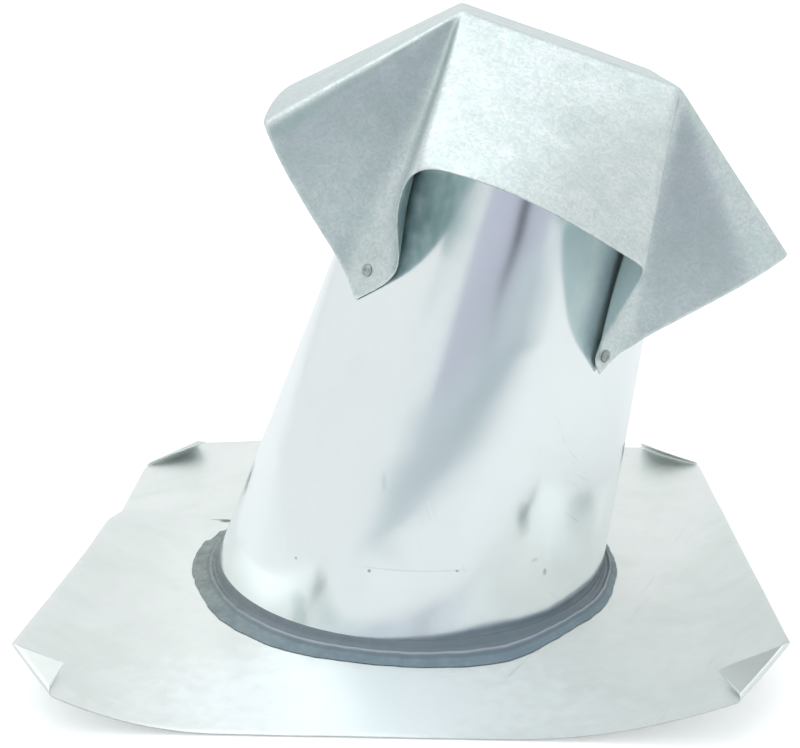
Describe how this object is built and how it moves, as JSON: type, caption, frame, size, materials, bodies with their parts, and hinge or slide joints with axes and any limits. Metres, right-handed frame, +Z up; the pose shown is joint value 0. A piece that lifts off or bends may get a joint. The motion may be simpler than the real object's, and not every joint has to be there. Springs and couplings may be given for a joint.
{
  "type": "roof jack",
  "caption": "Galvanised sheet-steel roof jack: square flashing with dog-eared corners, leaning tapered pipe and a folded, riveted four-hood rain cap.",
  "frame": {"origin": "centre of the pipe's foot on the underside of the flashing", "axes": "+Z up off the roof, +X the way the pipe leans, -Y the viewer's side"},
  "size_m": [0.3692, 0.3579, 0.3055],
  "materials": {
    "flashing_zinc": "bright galvanised sheet, lightly smudged",
    "pipe_zinc": "bright galvanised sheet, lightly scratched",
    "cap_zinc": "matte mottled galvanised sheet",
    "rivet_metal": "dull aluminium",
    "sealant": "cured grey mastic"
  },
  "bodies": {
    "root": {"base_flashing": "flashing_zinc", "stack_pipe": "pipe_zinc", "rain_cap": "cap_zinc", "cap_rivets": "rivet_metal", "sealant_bead": "sealant"}
  },
  "joints": []
}
